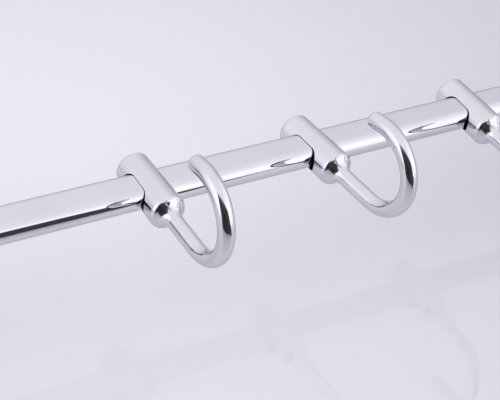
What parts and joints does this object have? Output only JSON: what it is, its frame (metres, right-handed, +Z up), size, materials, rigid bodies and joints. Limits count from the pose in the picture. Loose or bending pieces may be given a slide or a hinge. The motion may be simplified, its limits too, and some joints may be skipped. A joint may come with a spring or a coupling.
{
  "type": "kitchen utensil rail",
  "caption": "Chrome flat oval rail on two wall brackets, with sliding one-piece hooks that curl up and back to hold kitchen utensils by their loops.",
  "frame": {"origin": "on the wall plane, midway between the two wall plates and level with the rail's axis", "axes": "+X along the rail, +Y into the wall so that the hooks reach out along -Y, +Z up"},
  "size_m": [0.648, 0.1083, 0.0664],
  "materials": {
    "rail_chrome": "bright chrome plate on a drawn oval tube",
    "hook_chrome": "bright chrome plate on a polished casting",
    "bracket_chrome": "bright chrome plate on a polished casting",
    "plate_steel": "zinc-plated steel, dull",
    "screw_steel": "stainless steel, turned"
  },
  "bodies": {
    "rail_and_brackets": {"rail_tube": "rail_chrome", "left_bracket": "bracket_chrome", "left_wall_plate": "plate_steel", "left_rose_screw": "screw_steel", "left_rail_screw": "screw_steel", "right_bracket": "bracket_chrome", "right_wall_plate": "plate_steel", "right_rose_screw": "screw_steel", "right_rail_screw": "screw_steel"},
    "hook_1": {"hook_1": "hook_chrome"},
    "hook_2": {"hook_2": "hook_chrome"},
    "hook_3": {"hook_3": "hook_chrome"},
    "hook_4": {"hook_4": "hook_chrome"},
    "hook_5": {"hook_5": "hook_chrome"},
    "hook_6": {"hook_6": "hook_chrome"}
  },
  "joints": [
    {"name": "hook_1_slide", "type": "slide", "parent": "rail_and_brackets", "child": "hook_1", "axis": [1, 0, 0], "range_m": [-0.0749, 0.0324]},
    {"name": "hook_2_slide", "type": "slide", "parent": "rail_and_brackets", "child": "hook_2", "axis": [1, 0, 0], "range_m": [-0.0313, 0.0313]},
    {"name": "hook_3_slide", "type": "slide", "parent": "rail_and_brackets", "child": "hook_3", "axis": [1, 0, 0], "range_m": [-0.0378, 0.0278]},
    {"name": "hook_4_slide", "type": "slide", "parent": "rail_and_brackets", "child": "hook_4", "axis": [1, 0, 0], "range_m": [-0.0328, 0.0328]},
    {"name": "hook_5_slide", "type": "slide", "parent": "rail_and_brackets", "child": "hook_5", "axis": [1, 0, 0], "range_m": [-0.0328, 0.0328]},
    {"name": "hook_6_slide", "type": "slide", "parent": "rail_and_brackets", "child": "hook_6", "axis": [1, 0, 0], "range_m": [-0.0328, 0.0752]}
  ]
}
